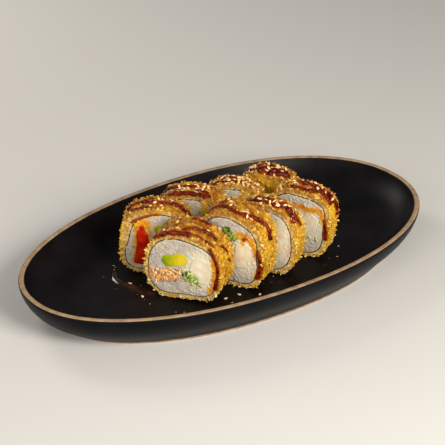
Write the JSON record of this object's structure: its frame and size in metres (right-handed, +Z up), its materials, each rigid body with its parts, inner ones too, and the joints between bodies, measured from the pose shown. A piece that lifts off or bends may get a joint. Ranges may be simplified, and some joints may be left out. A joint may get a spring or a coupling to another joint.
{
  "type": "fried sushi roll on a plate",
  "caption": "Panko-fried sushi roll cut in thick slices, laid in rows on an oval stoneware plate, with sauce and sesame.",
  "frame": {"origin": "under the middle of the plate, on the surface that the plate's foot stands on", "axes": "+X along the plate's length, +Y across it towards the back row of slices, +Z up"},
  "size_m": [0.28, 0.161, 0.0569],
  "materials": {
    "plate": "satin dark charcoal stoneware, raw clay band on the rim",
    "crust": "golden fried breadcrumb crust, with glossy dark red-brown sauce and pale sesame",
    "nori": "dark green-black dried seaweed sheet",
    "rice": "moist ivory rice grains",
    "avocado": "green at one edge, yellow at the other",
    "cheese": "smooth cream cheese",
    "salmon": "shredded orange-pink fish",
    "greens": "chopped green leaf and cucumber"
  },
  "bodies": {
    "root": {"plate": "plate", "crust_front_1": "crust", "nori_front_1": "nori", "rice_front_1": "rice", "avocado_front_1": "avocado", "cheese_front_1": "cheese", "salmon_front_1": "salmon", "greens_front_1": "greens", "crust_front_2": "crust", "nori_front_2": "nori", "rice_front_2": "rice", "avocado_front_2": "avocado", "cheese_front_2": "cheese", "salmon_front_2": "salmon", "greens_front_2": "greens", "crust_front_3": "crust", "nori_front_3": "nori", "rice_front_3": "rice", "avocado_front_3": "avocado", "cheese_front_3": "cheese", "salmon_front_3": "salmon", "greens_front_3": "greens", "crust_front_4": "crust", "nori_front_4": "nori", "rice_front_4": "rice", "avocado_front_4": "avocado", "cheese_front_4": "cheese", "salmon_front_4": "salmon", "greens_front_4": "greens", "crust_back_1": "crust", "nori_back_1": "nori", "rice_back_1": "rice", "avocado_back_1": "avocado", "cheese_back_1": "cheese", "salmon_back_1": "salmon", "greens_back_1": "greens", "crust_back_2": "crust", "nori_back_2": "nori", "rice_back_2": "rice", "avocado_back_2": "avocado", "cheese_back_2": "cheese", "salmon_back_2": "salmon", "greens_back_2": "greens", "crust_back_3": "crust", "nori_back_3": "nori", "rice_back_3": "rice", "avocado_back_3": "avocado", "cheese_back_3": "cheese", "salmon_back_3": "salmon", "greens_back_3": "greens", "crust_back_4": "crust", "nori_back_4": "nori", "rice_back_4": "rice", "avocado_back_4": "avocado", "cheese_back_4": "cheese", "salmon_back_4": "salmon", "greens_back_4": "greens"}
  },
  "joints": []
}
